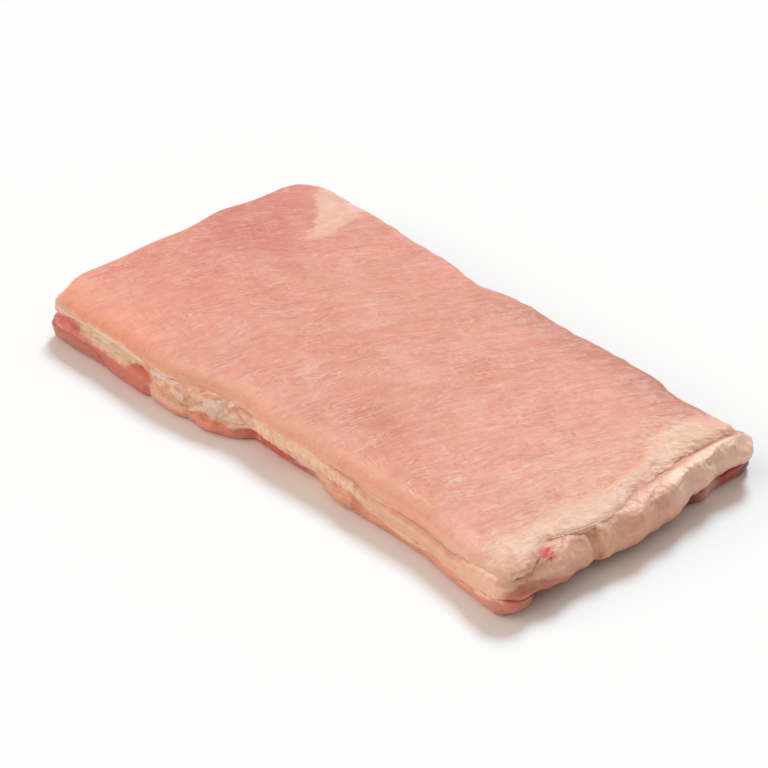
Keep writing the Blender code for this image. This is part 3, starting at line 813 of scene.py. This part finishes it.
def sheet_relief(x, y, z):
    c, a = fibre(x, y)
    e_near = y - sheet_near(x)
    e_far = sheet_far(x) - y
    lip = sheet_end(y) - x
    inner = rise(e_near, 6.0, 18.0) * rise(e_far, 1.0, 12.0) * rise(x - end_left(y), 1.0, 12.0)
    calm = 1.0 - inner
    pad = fatness(x, y)
    strength = (0.36 + 0.64 * inner) * (1.0 - 0.6 * rise(pad, -0.4, 0.6) * rise(x, 150.0, 190.0))
    strength = strength * (1.0 - 0.35 * (1 - rise(x, -225.0, -140.0)) * (1 - rise(y, -90.0, -30.0)))
    d = 0.6 * fbm(x / 40.0, y / 40.0, z / 40.0, 2, 5) * (0.35 + 0.65 * inner)
    warp = 2.0 * noise(x / 13.0, y / 13.0, 0.0, 8) + 0.9 * noise(x / 5.0, y / 5.0, 0.0, 10)
    patchy = 0.45 + 0.9 * rise(noise(x / 30.0, y / 30.0, 0.2, 9), -0.25, 0.45)
    d = d - 0.45 * ridged((c + warp) / 7.0, a / 34.0, 0.3, 11) * strength * patchy
    d = d - 0.40 * ridged((c + warp) / 3.6, a / 18.0, 0.7, 12) * strength * patchy
    d = d + 0.12 * noise(x / 3.0, y / 3.0, 0.4, 15) * strength
    # wrinkles across the fibres, in patches
    cross = rise(noise(x / 38.0, y / 38.0, 4.4, 13), 0.0, 0.35) * inner
    cross = np.maximum(cross, 1.4 * window(x, 30.0, 205.0, 25.0) * window(y, -116.0, -74.0, 10.0) * rise(noise(x / 24.0, y / 24.0, 6.1, 17), -0.25, 0.2))
    d = d - 0.60 * ridged(c / 16.0, (a + warp) / 3.2, 0.1, 14) * cross
    # the thick lip: a raised pad with a valley behind it, and crepe wrinkles across it
    line = cream_line(y)
    pad_in = x - line
    wave = 0.75 + 0.5 * noise(y / 21.0, 0.2, 0.1, 31)
    d = d + 0.7 * rise(pad_in, -4.0, 9.0) * rise(lip, -2.0, 7.0) * wave
    d = d + 2.0 * hump(lip, 11.0 + 3.0 * np.sin(y / 23.0), 8.0) * wave * rise(e_near, 6.0, 24.0)
    d = d - 1.0 * hump(pad_in, -6.0 + 2.0 * np.sin(y / 14.0), 5.5) * (0.5 + 0.7 * noise(y / 12.0, 0.4, 0.1, 33)) * rise(e_far, 4.0, 16.0)
    d = d + 0.5 * hump(lip, 13.0 + 3.0 * np.sin(y / 10.0), 5.0) * noise(y / 11.0, x / 30.0, 1.1, 36) * 1.6
    crepe = rise(pad_in, -8.0, 2.0) * rise(lip, 0.0, 3.0) * (0.35 + 0.65 * rise(y, 0.0, 40.0))
    turn = y - 0.5 * x + 3.0 * noise(x / 9.0, y / 9.0, 0, 35)
    d = d - 1.10 * crepe * ridged(turn / 5.4, x / 12.0, 0.9, 34)
    d = d - 0.80 * crepe * ridged(turn / 2.8, x / 8.0, 0.4, 38)
    return d, c, a, inner, calm


def build_sheet():
    us = spaced(LONG, arc_steps(CORNER_FL, 10.0, 1.25, 0.0, 1.0), arc_steps(CORNER_FR, 9.0, 1.1, 40.0, 1.0), 1.36)
    vs = spaced(WIDE, [0.85] * 21, [0.9] * 12, 1.32)
    s = Skin("lean_top", us, vs, False, 10.5)
    gu, gv = np.meshgrid(us, vs, indexing="ij")
    top = s.add(gu, gv, 1.0)
    s.grid(top)
    loop, t = s.border(top), 0.0
    for w in (0.9, 0.79, 0.67, 0.54, 0.41, 0.28, 0.14, 0.03, 0.0):
        low = s.add(s.bu, s.bv, w)
        s.band(loop, low, t, (1 - w) * 10.0)
        loop, t = low, (1 - w) * 10.0
    s.cap(loop, 0.0, 0.0)
    co, uvw = s.points()
    n = normals_of(co, np.concatenate(s.quads))
    x, y, z = co.T
    d, c, a, inner, calm = sheet_relief(x, y, z)
    for line, half, deep in SHEET_CREASES:
        d = d + crease(co, line, half, deep)
    co2 = co + n * d[:, None]
    work = co2 - np.array([CENTRE_X, CENTRE_Y, 0.0])
    memb = inner * (0.3 + 0.7 * np.exp(-(((x - 12.0) / 95.0) ** 2) - ((y - 5.0) / 85.0) ** 2))
    # more film towards the lip, and with it more of its painted sheen
    memb = np.clip(memb * (1 - 0.4 * rise(x, 50.0, 120.0)) + 0.2 * rise(x, 150.0, 190.0) * inner, 0, 1)
    lip = sheet_end(y) - x
    valley = hump(x - cream_line(y), -1.0, 8.0) * rise(x, 150.0, 180.0) + 0.8 * (1 - rise(lip, 0.0, 4.0)) * rise(y, -70.0, -50.0)
    valley = valley + 0.9 * (1 - rise(sheet_far(x) - y, 4.0, 26.0)) * rise(x, 160.0, 190.0)
    valley = valley + 1.1 * (1 - rise(x, -160.0, -150.0))
    valley = np.clip(valley * (0.55 + 0.9 * noise(y / 9.0, x / 9.0, 0.2, 44)), 0, 1)
    attributes = {
        "tint": sheet_colour(co),
        "fatty": fatness(x, y),
        "memb": memb,
        "calm": calm,
        "valley": valley,
        "fib": np.stack([c, a, z], 1),
    }
    return s, work, attributes


def build_fat():
    us = spaced(LONG, arc_steps(CORNER_FL, 10.0, 1.3, 0.0, 1.0), arc_steps(CORNER_FR + 5, 9.0, 1.1, 0.0, 1.0), 1.2)
    vs = spaced(WIDE, [0.6, 0.8], [0.6, 0.8], 0.98)
    s = Skin("fat_layer", us, vs, True, 70.0)
    insets = list(np.arange(33.0, 4.0, -1.25)) + [3.4, 2.4, 1.5, 0.8, 0.25]
    loops = [(s.add(*s.square(i), 1.0), 33.0 - i) for i in insets]
    loops += [(s.add(s.bu, s.bv, w), 33.0 + 20.0 * (1 - w)) for w in np.linspace(1.0, 0.0, 20)]
    loops += [(s.add(*s.square(i), 0.0), 53.0 + i) for i in (0.4, 1.0, 1.8, 3.0, 4.6, 6.6, 9.0, 12.0, 16.0)]
    for (a, ta), (b, tb) in zip(loops[:-1], loops[1:]):
        s.band(a, b, ta, tb)
    s.cap(loops[0][0], 1.0, 33.0, up=True)
    s.cap(loops[-1][0], 0.0, 16.0)
    co, uvw = s.points()
    n = normals_of(co, np.concatenate(s.quads))
    x, y, z = co.T
    lip = x - sheet_end(y)
    at_end = np.maximum(rise(lip, 2.0, 7.0), rise(x, 232.0, 242.0))
    on_near = 1 - rise(y - sheet_near(x), 2.0, 9.0)
    depth = np.minimum(np.minimum(y - sheet_near(x) + 6.0, sheet_far(x) + 8.0 - y), np.minimum(x - end_left(y) + 4.0, 262.0 - x))
    outer = 1 - rise(depth, 16.0, 34.0)
    hidden = rise(depth, 4.0, 9.0) * (1 - at_end)
    d = 0.6 * fbm(x / 15.0, y / 15.0, z / 12.0, 3, 41) * (0.5 + 1.1 * at_end) * outer * (1 - 0.8 * hidden)
    d = d + at_end * 1.5 * (rise(noise(y / 17.0, z / 10.0, x / 20.0, 42), -0.5, 0.5) - 0.5)
    turn = y - 0.3 * x
    crepe = at_end * (0.35 + 0.65 * rise(y, -40.0, 30.0))
    turn = turn + 2.5 * noise(x / 8.0, y / 8.0, z / 8.0, 39)
    d = d - 0.95 * crepe * ridged(turn / 6.0, z / 9.0 + x / 14.0, 0.9, 48)
    d = d - 0.70 * crepe * ridged(turn / 3.0, z / 7.0 + x / 9.0, 0.9, 49)
    for line, half, deep in FAT_CREASES:
        d = d + crease(co, line, half, deep)
    # the upper rim overlaps the sheet unevenly, so that no seam shows along the side
    zs, zb = sheet_floor(x, y), base_top(x, y)
    d = d + on_near * (1 - at_end) * hump(z, zs - 2.4, 2.5) * (1.1 + 1.3 * noise(x / 6.0, 0.3, 0.1, 43))
    # the side strip: a rope with crimps
    mid = np.clip((z - zb) / (zs - zb), 0.0, 1.0)
    rope = on_near * np.sin(np.pi * mid) ** 0.8 * (1 - at_end)
    d = d + rope * (0.5 + 1.0 * window(x, -46.0, 104.0, 8.0) + 0.6 * noise(x / 9.0, 0.0, 0.0, 50))
    crimp = rope * window(x, -46.0, 96.0, 9.0)
    phase = x + 0.6 * z + 6.5 * noise(x / 13.0, z / 8.0, 0, 46)
    d = d - crimp * 1.5 * (np.abs(np.cos(phase * math.pi / 7.5)) ** 4) * (0.7 + 0.8 * noise(x / 9.0, z / 9.0, 0, 40))
    d = d + crimp * 0.8 * noise(x / 3.4, z / 5.0, 1, 45)
    pits = on_near * window(x, -226.0, -25.0, 8.0)
    d = d + pits * (1.2 + 0.9 * window(x, -145.0, -45.0, 8.0)) * fbm(x / 8.0, y / 8.0, z / 6.0, 3, 47)
    co2 = co + n * d[:, None]
    work = co2 - np.array([CENTRE_X, CENTRE_Y, 0.0])
    red = np.exp(-(((co - RED_SPOT) / np.array([8.5, 7.5, 4.2])) ** 2).sum(1)) * rise(lip, -1.0, 2.0)
    attributes = {
        "tint": fat_colour(co, at_end, on_near),
        "memb": film_spots(co) * on_near,
        "red": red,
        "crepe": np.clip(at_end, 0, 1),
        "fib": co,
    }
    return s, work, attributes


def build_base():
    us = spaced(LONG, arc_steps(CORNER_FL, 10.0, 1.5, 0.0, 1.0), arc_steps(CORNER_FR, 9.0, 1.4, 0.0, 1.0), 1.36)
    vs = spaced(WIDE, [0.7, 1.0, 1.2], [0.7, 1.0, 1.2], 1.62)
    s = Skin("lean_base", us, vs, False, 31.0)
    gu, gv = np.meshgrid(us, vs, indexing="ij")
    under = s.add(gu, gv, 0.0)
    s.grid(under, up=False)
    loop, t = s.border(under), 0.0
    for w in (0.06, 0.13, 0.21, 0.3, 0.4, 0.5, 0.6, 0.7, 0.79, 0.87, 0.94, 1.0):
        high = s.add(s.bu, s.bv, w)
        s.band(high, loop, w * 14.0, t)
        loop, t = high, w * 14.0
    for inset in (0.6, 1.4, 2.6, 4.2, 6.4, 9.0, 12.0, 16.0):
        inner = s.add(*s.square(inset), 1.0)
        s.band(inner, loop, 14.0 + inset, t)
        loop, t = inner, 14.0 + inset
    s.cap(loop, 1.0, 16.0, up=True)
    co, uvw = s.points()
    n = normals_of(co, np.concatenate(s.quads))
    x, y, z = co.T
    side = 1 - rise(np.minimum(np.minimum(y - sheet_near(x) + 8.0, sheet_far(x) + 6.0 - y), np.minimum(x - end_left(y) + 2.0, base_end(y) + 2.0 - x)), 10.0, 24.0)
    on_near = 1 - rise(y - sheet_near(x), 3.0, 12.0)
    lift = rise(z, 0.0, 3.0)
    d = side * lift * 0.9 * fbm(x / 13.0, y / 13.0, z / 9.0, 3, 51)
    d = d + side * lift * 0.5 * fbm(x / 9.0, y / 9.0, z / 3.0, 2, 53)
    zb = base_top(x, y)
    d = d + on_near * hump(z, zb - 2.0, 2.3) * (0.9 + 0.8 * noise(x / 6.0, 0.3, 0.1, 58)) * rise(z, 1.0, 3.0)
    for cx, cz, rx, rz, out in LOBES:
        d = d + on_near * lift * out * np.exp(-(((x - cx) / rx) ** 4) - ((z - cz) / rz) ** 2)
    for line, half, deep in BASE_CREASES:
        d = d + crease(co, line, half, deep) * rise(z, -0.5, 2.0)
    co2 = co + n * d[:, None]
    # relief of the underside only goes up, so that it still rests flat
    flat = (uvw[:, 2] < 1e-6) & (side < 0.999)
    relief = 0.5 * (1 + noise(x / 16.0, y / 16.0, 0.0, 55)) * 0.6
    co2[:, 2] = np.where(flat, np.maximum(co[:, 2], relief * rise(relief, 0.25, 0.6)), co2[:, 2])
    co2[:, 2] = np.maximum(co2[:, 2], 0.0)
    work = co2 - np.array([CENTRE_X, CENTRE_Y, 0.0])
    attributes = {"tint": base_colour(co), "memb": 0.0 * x, "fib": co}
    return s, work, attributes


# --- materials ------------------------------------------------------------------


class Nodes:
    def __init__(self, name):
        self.mat = bpy.data.materials.new(name)
        self.mat.use_nodes = True
        self.tree = self.mat.node_tree
        self.shader = self.tree.nodes["Principled BSDF"]

    def new(self, kind, **props):
        node = self.tree.nodes.new(kind)
        for key, value in props.items():
            setattr(node, key, value)
        return node

    def link(self, a, b):
        self.tree.links.new(a, b)

    def feed(self, socket, value):
        if hasattr(value, "is_linked") or hasattr(value, "links"):
            self.link(value, socket)
        elif isinstance(value, (tuple, list, np.ndarray)):
            v = tuple(float(c) for c in value)
            socket.default_value = v if len(v) == len(socket.default_value) else (*v, 1.0)
        else:
            socket.default_value = float(value)

    def attribute(self, name, out="Fac"):
        node = self.new("ShaderNodeAttribute", attribute_name=name)
        return node.outputs[out]

    def math(self, op, a, b=0.0, c=None, clamp=False):
        node = self.new("ShaderNodeMath", operation=op, use_clamp=clamp)
        self.feed(node.inputs[0], a)
        self.feed(node.inputs[1], b)
        if c is not None:
            self.feed(node.inputs[2], c)
        return node.outputs[0]

    def stretch(self, vector, scale, offset=(0, 0, 0)):
        node = self.new("ShaderNodeMapping")
        self.link(vector, node.inputs["Vector"])
        node.inputs["Scale"].default_value = scale
        node.inputs["Location"].default_value = offset
        return node.outputs[0]

    def noise(self, vector, scale=(1, 1, 1), detail=3.0, rough=0.55, distort=0.0, offset=(0, 0, 0)):
        node = self.new("ShaderNodeTexNoise")
        self.link(self.stretch(vector, scale, offset), node.inputs["Vector"])
        node.inputs["Scale"].default_value = 1.0
        node.inputs["Detail"].default_value = detail
        node.inputs["Roughness"].default_value = rough
        node.inputs["Distortion"].default_value = distort
        return node.outputs["Fac"]

    def ramp(self, value, a, b, low=0.0, high=1.0):
        node = self.new("ShaderNodeMapRange", interpolation_type="SMOOTHSTEP")
        self.feed(node.inputs["Value"], value)
        node.inputs["From Min"].default_value = a
        node.inputs["From Max"].default_value = b
        node.inputs["To Min"].default_value = low
        node.inputs["To Max"].default_value = high
        return node.outputs[0]

    def mix(self, fac, a, b, blend_type="MIX"):
        node = self.new("ShaderNodeMix", data_type="RGBA", blend_type=blend_type)
        self.feed(node.inputs["Factor"], fac)
        self.feed(node.inputs[6], a)
        self.feed(node.inputs[7], b)
        return node.outputs[2]

    def finish(self, colour, rough, height, distance, sss=0.25, radius=(0.0042, 0.0016, 0.001), coat=0.25, coat_rough=0.22):
        s = self.shader
        self.link(colour, s.inputs["Base Color"])
        self.feed(s.inputs["Roughness"], rough)
        bump = self.new("ShaderNodeBump")
        bump.inputs["Strength"].default_value = 1.0
        bump.inputs["Distance"].default_value = distance
        self.link(height, bump.inputs["Height"])
        self.link(bump.outputs[0], s.inputs["Normal"])
        s.inputs["Subsurface Weight"].default_value = sss
        s.inputs["Subsurface Radius"].default_value = (1.0, 0.38, 0.24)
        s.inputs["Subsurface Scale"].default_value = radius[0]
        s.inputs["Coat Weight"].default_value = coat
        s.inputs["Coat Roughness"].default_value = coat_rough
        s.inputs["Specular IOR Level"].default_value = 0.38
        return self.mat


def sheet_material():
    m = Nodes("upper_lean_wet")
    fib = m.attribute("fib", "Vector")
    tint = m.attribute("tint", "Color")
    memb = m.attribute("memb")
    fatty = m.attribute("fatty")
    calm = m.attribute("calm")
    lively = m.math("SUBTRACT", 1.0, m.math("MULTIPLY", calm, 0.45))
    strand = m.noise(fib, (0.20, 0.024, 0.2), 2.5, 0.55, 0.7, (7, 3, 1))
    fine = m.noise(fib, (0.62, 0.09, 0.3), 2.5, 0.60, 0.7)
    mottle = m.noise(fib, (0.11, 0.085, 0.1), 5.0, 0.66, 0.5, (2, 9, 4))
    grain = m.noise(fib, (0.95, 0.75, 0.9), 3.0, 0.65, 0.2, (3, 1, 8))
    broad = m.noise(fib, (0.022, 0.014, 0.02), 3.0, 0.55, 0.4, (4, 4, 2))
    # patches of orange and of pink; darker red where the strands are low, partly the tissue's own streaks and partly
    # painted shade in their valleys
    col = m.mix(m.math("MULTIPLY", m.ramp(mottle, 0.50, 0.66, 0.0, 0.36), lively), tint, srgb(234, 164, 124))
    col = m.mix(m.math("MULTIPLY", m.ramp(mottle, 0.50, 0.36, 0.0, 0.30), lively), col, srgb(220, 132, 118))
    col = m.mix(m.math("MULTIPLY", m.ramp(strand, 0.50, 0.34, 0.0, 0.26), lively), col, srgb(206, 116, 98))
    col = m.mix(m.math("MULTIPLY", m.ramp(fine, 0.44, 0.28, 0.0, 0.16), lively), col, srgb(200, 108, 90))
    # thin folds of the film, in patches: painted shade as a dark line in each fold, and a painted highlight as a pale
    # line beside it
    where = m.noise(fib, (0.030, 0.022, 0.02), 3.0, 0.6, 0.3, (8, 5, 1))
    where = m.math("MULTIPLY", m.ramp(where, 0.42, 0.60, 0.15, 1.0), lively)
    long = m.math("SUBTRACT", m.noise(fib, (0.085, 0.012, 0.1), 2.0, 0.50, 0.5, (1, 6, 2)), 0.5)
    short = m.math("SUBTRACT", m.noise(fib, (0.17, 0.030, 0.1), 2.0, 0.52, 0.7, (9, 2, 3)), 0.5)
    line_a = m.math("MULTIPLY", m.ramp(m.math("ABSOLUTE", long), 0.0, 0.016, 1.0, 0.0), where)
    line_b = m.math("MULTIPLY", m.ramp(m.math("ABSOLUTE", short), 0.0, 0.022, 1.0, 0.0), where)
    lines = m.math("MAXIMUM", line_a, m.math("MULTIPLY", line_b, 0.8))
    glint_a = m.math("MULTIPLY", m.ramp(long, 0.012, 0.024), m.ramp(long, 0.060, 0.026))
    glint_b = m.math("MULTIPLY", m.ramp(short, 0.016, 0.030), m.ramp(short, 0.080, 0.034))
    sides = m.math("MULTIPLY", m.math("MAXIMUM", glint_a, glint_b), where)
    col = m.mix(m.math("MULTIPLY", lines, 0.32), col, srgb(190, 100, 84))
    col = m.mix(m.math("MULTIPLY", sides, 0.34), col, srgb(246, 196, 180))
    # painted highlights: pale streaks where the strands stand high, as glints on their ridges
    pale = m.math("MULTIPLY", m.ramp(fine, 0.46, 0.66, 0.0, 0.60), m.ramp(strand, 0.46, 0.62))
    pale = m.math("MULTIPLY", pale, m.math("MULTIPLY_ADD", memb, 0.6, 0.25))
    col = m.mix(pale, col, srgb(242, 196, 176))
    # pale film patches: partly the membrane's own colour, partly painted sheen
    film = m.math("MULTIPLY", m.ramp(broad, 0.50, 0.60, 0.0, 0.55), m.ramp(grain, 0.35, 0.6, 0.4, 1.0))
    col = m.mix(m.math("MULTIPLY", film, memb), col, srgb(236, 182, 164))
    # fat that shows through or covers the sheet, with ragged fingers along the fibres
    edge = m.math("ADD", fatty, m.math("MULTIPLY_ADD", mottle, 2.6, -1.3))
    edge = m.math("ADD", edge, m.math("MULTIPLY_ADD", fine, 1.1, -0.55))
    cover = m.ramp(edge, -0.45, 0.50)
    cream = m.mix(m.ramp(mottle, 0.40, 0.60), srgb(239, 206, 183), srgb(231, 189, 165))
    cream = m.mix(m.ramp(fine, 0.35, 0.6, 0.30, 0.0), cream, srgb(208, 146, 122))
    cream = m.mix(m.ramp(broad, 0.44, 0.58, 0.0, 0.55), cream, srgb(236, 178, 158))
    cream = m.mix(m.math("MULTIPLY", m.attribute("valley"), 0.55), cream, srgb(230, 166, 146))
    col = m.mix(m.math("MULTIPLY", cover, 0.94), col, cream)
    crinkle = m.noise(fib, (0.36, 0.26, 0.3), 4.0, 0.68, 1.4, (6, 2, 5))
    height = m.math("ADD", m.math("MULTIPLY", fine, 0.40), m.math("MULTIPLY", strand, 0.70))
    height = m.math("ADD", height, m.math("MULTIPLY", grain, 0.35))
    height = m.math("ADD", height, m.math("MULTIPLY", crinkle, m.math("MULTIPLY_ADD", memb, 0.7, 0.15)))
    height = m.math("ADD", height, m.math("MULTIPLY", lines, -0.20))
    height = m.math("MULTIPLY", height, m.math("MULTIPLY_ADD", calm, -0.25, 1.0))
    rough = m.ramp(mottle, 0.3, 0.7, 0.60, 0.47)
    return m.finish(col, rough, height, 0.0008, coat=0.05, coat_rough=0.24)


def fat_material():
    m = Nodes("fat_wet")
    fib = m.attribute("fib", "Vector")
    tint = m.attribute("tint", "Color")
    memb = m.attribute("memb")
    red = m.attribute("red")
    big = m.noise(fib, (0.06, 0.06, 0.08), 3.0, 0.55, 0.3)
    mid = m.noise(fib, (0.28, 0.28, 0.3), 3.0, 0.6, 0.6, (5, 2, 7))
    fine = m.noise(fib, (1.2, 1.2, 1.0), 2.0, 0.6, 0.3, (1, 8, 3))
    col = m.mix(m.ramp(big, 0.42, 0.65, 0.0, 0.25), tint, srgb(224, 164, 142))
    col = m.mix(m.ramp(mid, 0.55, 0.75, 0.0, 0.35), col, srgb(240, 206, 184))
    col = m.mix(m.ramp(mid, 0.45, 0.28, 0.0, 0.35), col, srgb(204, 138, 116))
    # pale lilac film patches in their own colour, made paler as painted highlight
    patch = m.ramp(m.math("ADD", memb, m.math("MULTIPLY_ADD", mid, 1.0, -0.5)), 0.3, 0.55)
    lilac = m.mix(m.ramp(fine, 0.4, 0.6), srgb(226, 196, 186), srgb(240, 216, 204))
    col = m.mix(patch, col, lilac)
    blotch = m.math("ADD", red, m.math("MULTIPLY", red, m.math("MULTIPLY_ADD", mid, 3.0, -1.5)))
    col = m.mix(m.ramp(blotch, 0.15, 0.75, 0.0, 0.90), col, srgb(226, 76, 80))
    height = m.math("ADD", m.math("MULTIPLY", mid, 1.0), m.math("MULTIPLY", fine, 0.3))
    rough = m.ramp(mid, 0.3, 0.7, 0.48, 0.36)
    return m.finish(col, rough, height, 0.0008, sss=0.3, radius=(0.005, 0, 0), coat=0.08, coat_rough=0.26)


def base_material():
    m = Nodes("lower_lean_wet")
    fib = m.attribute("fib", "Vector")
    tint = m.attribute("tint", "Color")
    big = m.noise(fib, (0.045, 0.06, 0.09), 3.0, 0.55, 0.3)
    strand = m.noise(fib, (0.12, 0.6, 0.9), 3.0, 0.6, 0.5, (5, 2, 7))
    fine = m.noise(fib, (0.9, 1.1, 1.2), 2.0, 0.6, 0.3, (1, 8, 3))
    dark = m.math("MULTIPLY", m.ramp(strand, 0.48, 0.32, 0.0, 0.35), 1.0)
    col = m.mix(dark, tint, srgb(150, 64, 52))
    pale = m.math("MULTIPLY", m.ramp(strand, 0.56, 0.74, 0.0, 0.40), m.ramp(big, 0.40, 0.60, 0.3, 1.0))
    col = m.mix(pale, col, srgb(226, 164, 142))
    height = m.math("ADD", m.math("MULTIPLY", strand, 1.0), m.math("MULTIPLY", fine, 0.3))
    rough = m.ramp(fine, 0.3, 0.7, 0.44, 0.3)
    return m.finish(col, rough, height, 0.0006, sss=0.25, coat=0.15, coat_rough=0.22)


def make(name, built, material, node):
    skin, co, attributes = built
    obj = to_mesh(name, co, skin, attributes)
    obj.data.materials.append(material)
    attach(obj, "root")
    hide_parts(node)
    return obj


make("upper_lean_sheet", build_sheet(), sheet_material(), "lean_top")
make("fat_between", build_fat(), fat_material(), "fat_layer")
make("lower_lean", build_base(), base_material(), "lean_base")

# --- floor, light, camera ---------------------------------------------------------


def floor():
    bpy.ops.mesh.primitive_plane_add(size=12.0, location=(0.0, 0.0, -0.0004))
    plane = bpy.context.object
    plane.name = "floor"
    m = Nodes("floor_white")
    m.shader.inputs["Base Color"].default_value = (0.925, 0.955, 0.975, 1.0)
    m.shader.inputs["Roughness"].default_value = 0.9
    m.shader.inputs["Specular IOR Level"].default_value = 0.0
    plane.data.materials.append(m.mat)


floor()

world = bpy.data.worlds.new("studio")
bpy.context.scene.world = world
world.use_nodes = True
back = world.node_tree.nodes["Background"]
back.inputs["Color"].default_value = (1.0, 0.832, 0.708, 1.0)
back.inputs["Strength"].default_value = 0.46


def sun(name, azimuth, elevation, strength, angle, colour):
    """A soft far light that shines from azimuth (0 is +X, 90 is +Y) and elevation."""
    data = bpy.data.lights.new(name, "SUN")
    data.energy = strength
    data.angle = math.radians(angle)
    data.color = colour
    obj = bpy.data.objects.new(name, data)
    a, e = math.radians(azimuth), math.radians(elevation)
    toward = Vector((math.cos(a) * math.cos(e), math.sin(a) * math.cos(e), math.sin(e)))
    obj.rotation_euler = toward.to_track_quat("Z", "Y").to_euler()
    bpy.context.scene.collection.objects.link(obj)


sun("key_soft", 125.0, 42.0, 2.36, 17.0, (0.84, 1.0, 1.10))
sun("fill_side", 236.0, 26.0, 1.35, 70.0, (1.0, 0.82, 0.70))

AZ, EL, FOCAL_PX = math.radians(48.0), math.radians(33.3), 3000.0
target = Vector(((-26.9 - CENTRE_X) * MM, (14.4 - CENTRE_Y) * MM, 0.0))
out = Vector((math.sin(AZ) * math.cos(EL), -math.cos(AZ) * math.cos(EL), math.sin(EL)))
cam_data = bpy.data.cameras.new("camera")
cam_data.sensor_width = 36.0
cam_data.lens = 36.0 * FOCAL_PX / 768.0
cam_data.clip_end = 50.0
cam = bpy.data.objects.new("camera", cam_data)
cam.location = target + out * 2.2656
cam.rotation_euler = out.to_track_quat("Z", "Y").to_euler()
bpy.context.scene.collection.objects.link(cam)
bpy.context.scene.camera = cam
bpy.context.scene.view_settings.view_transform = "Standard"
bpy.context.scene.view_settings.look = "None"
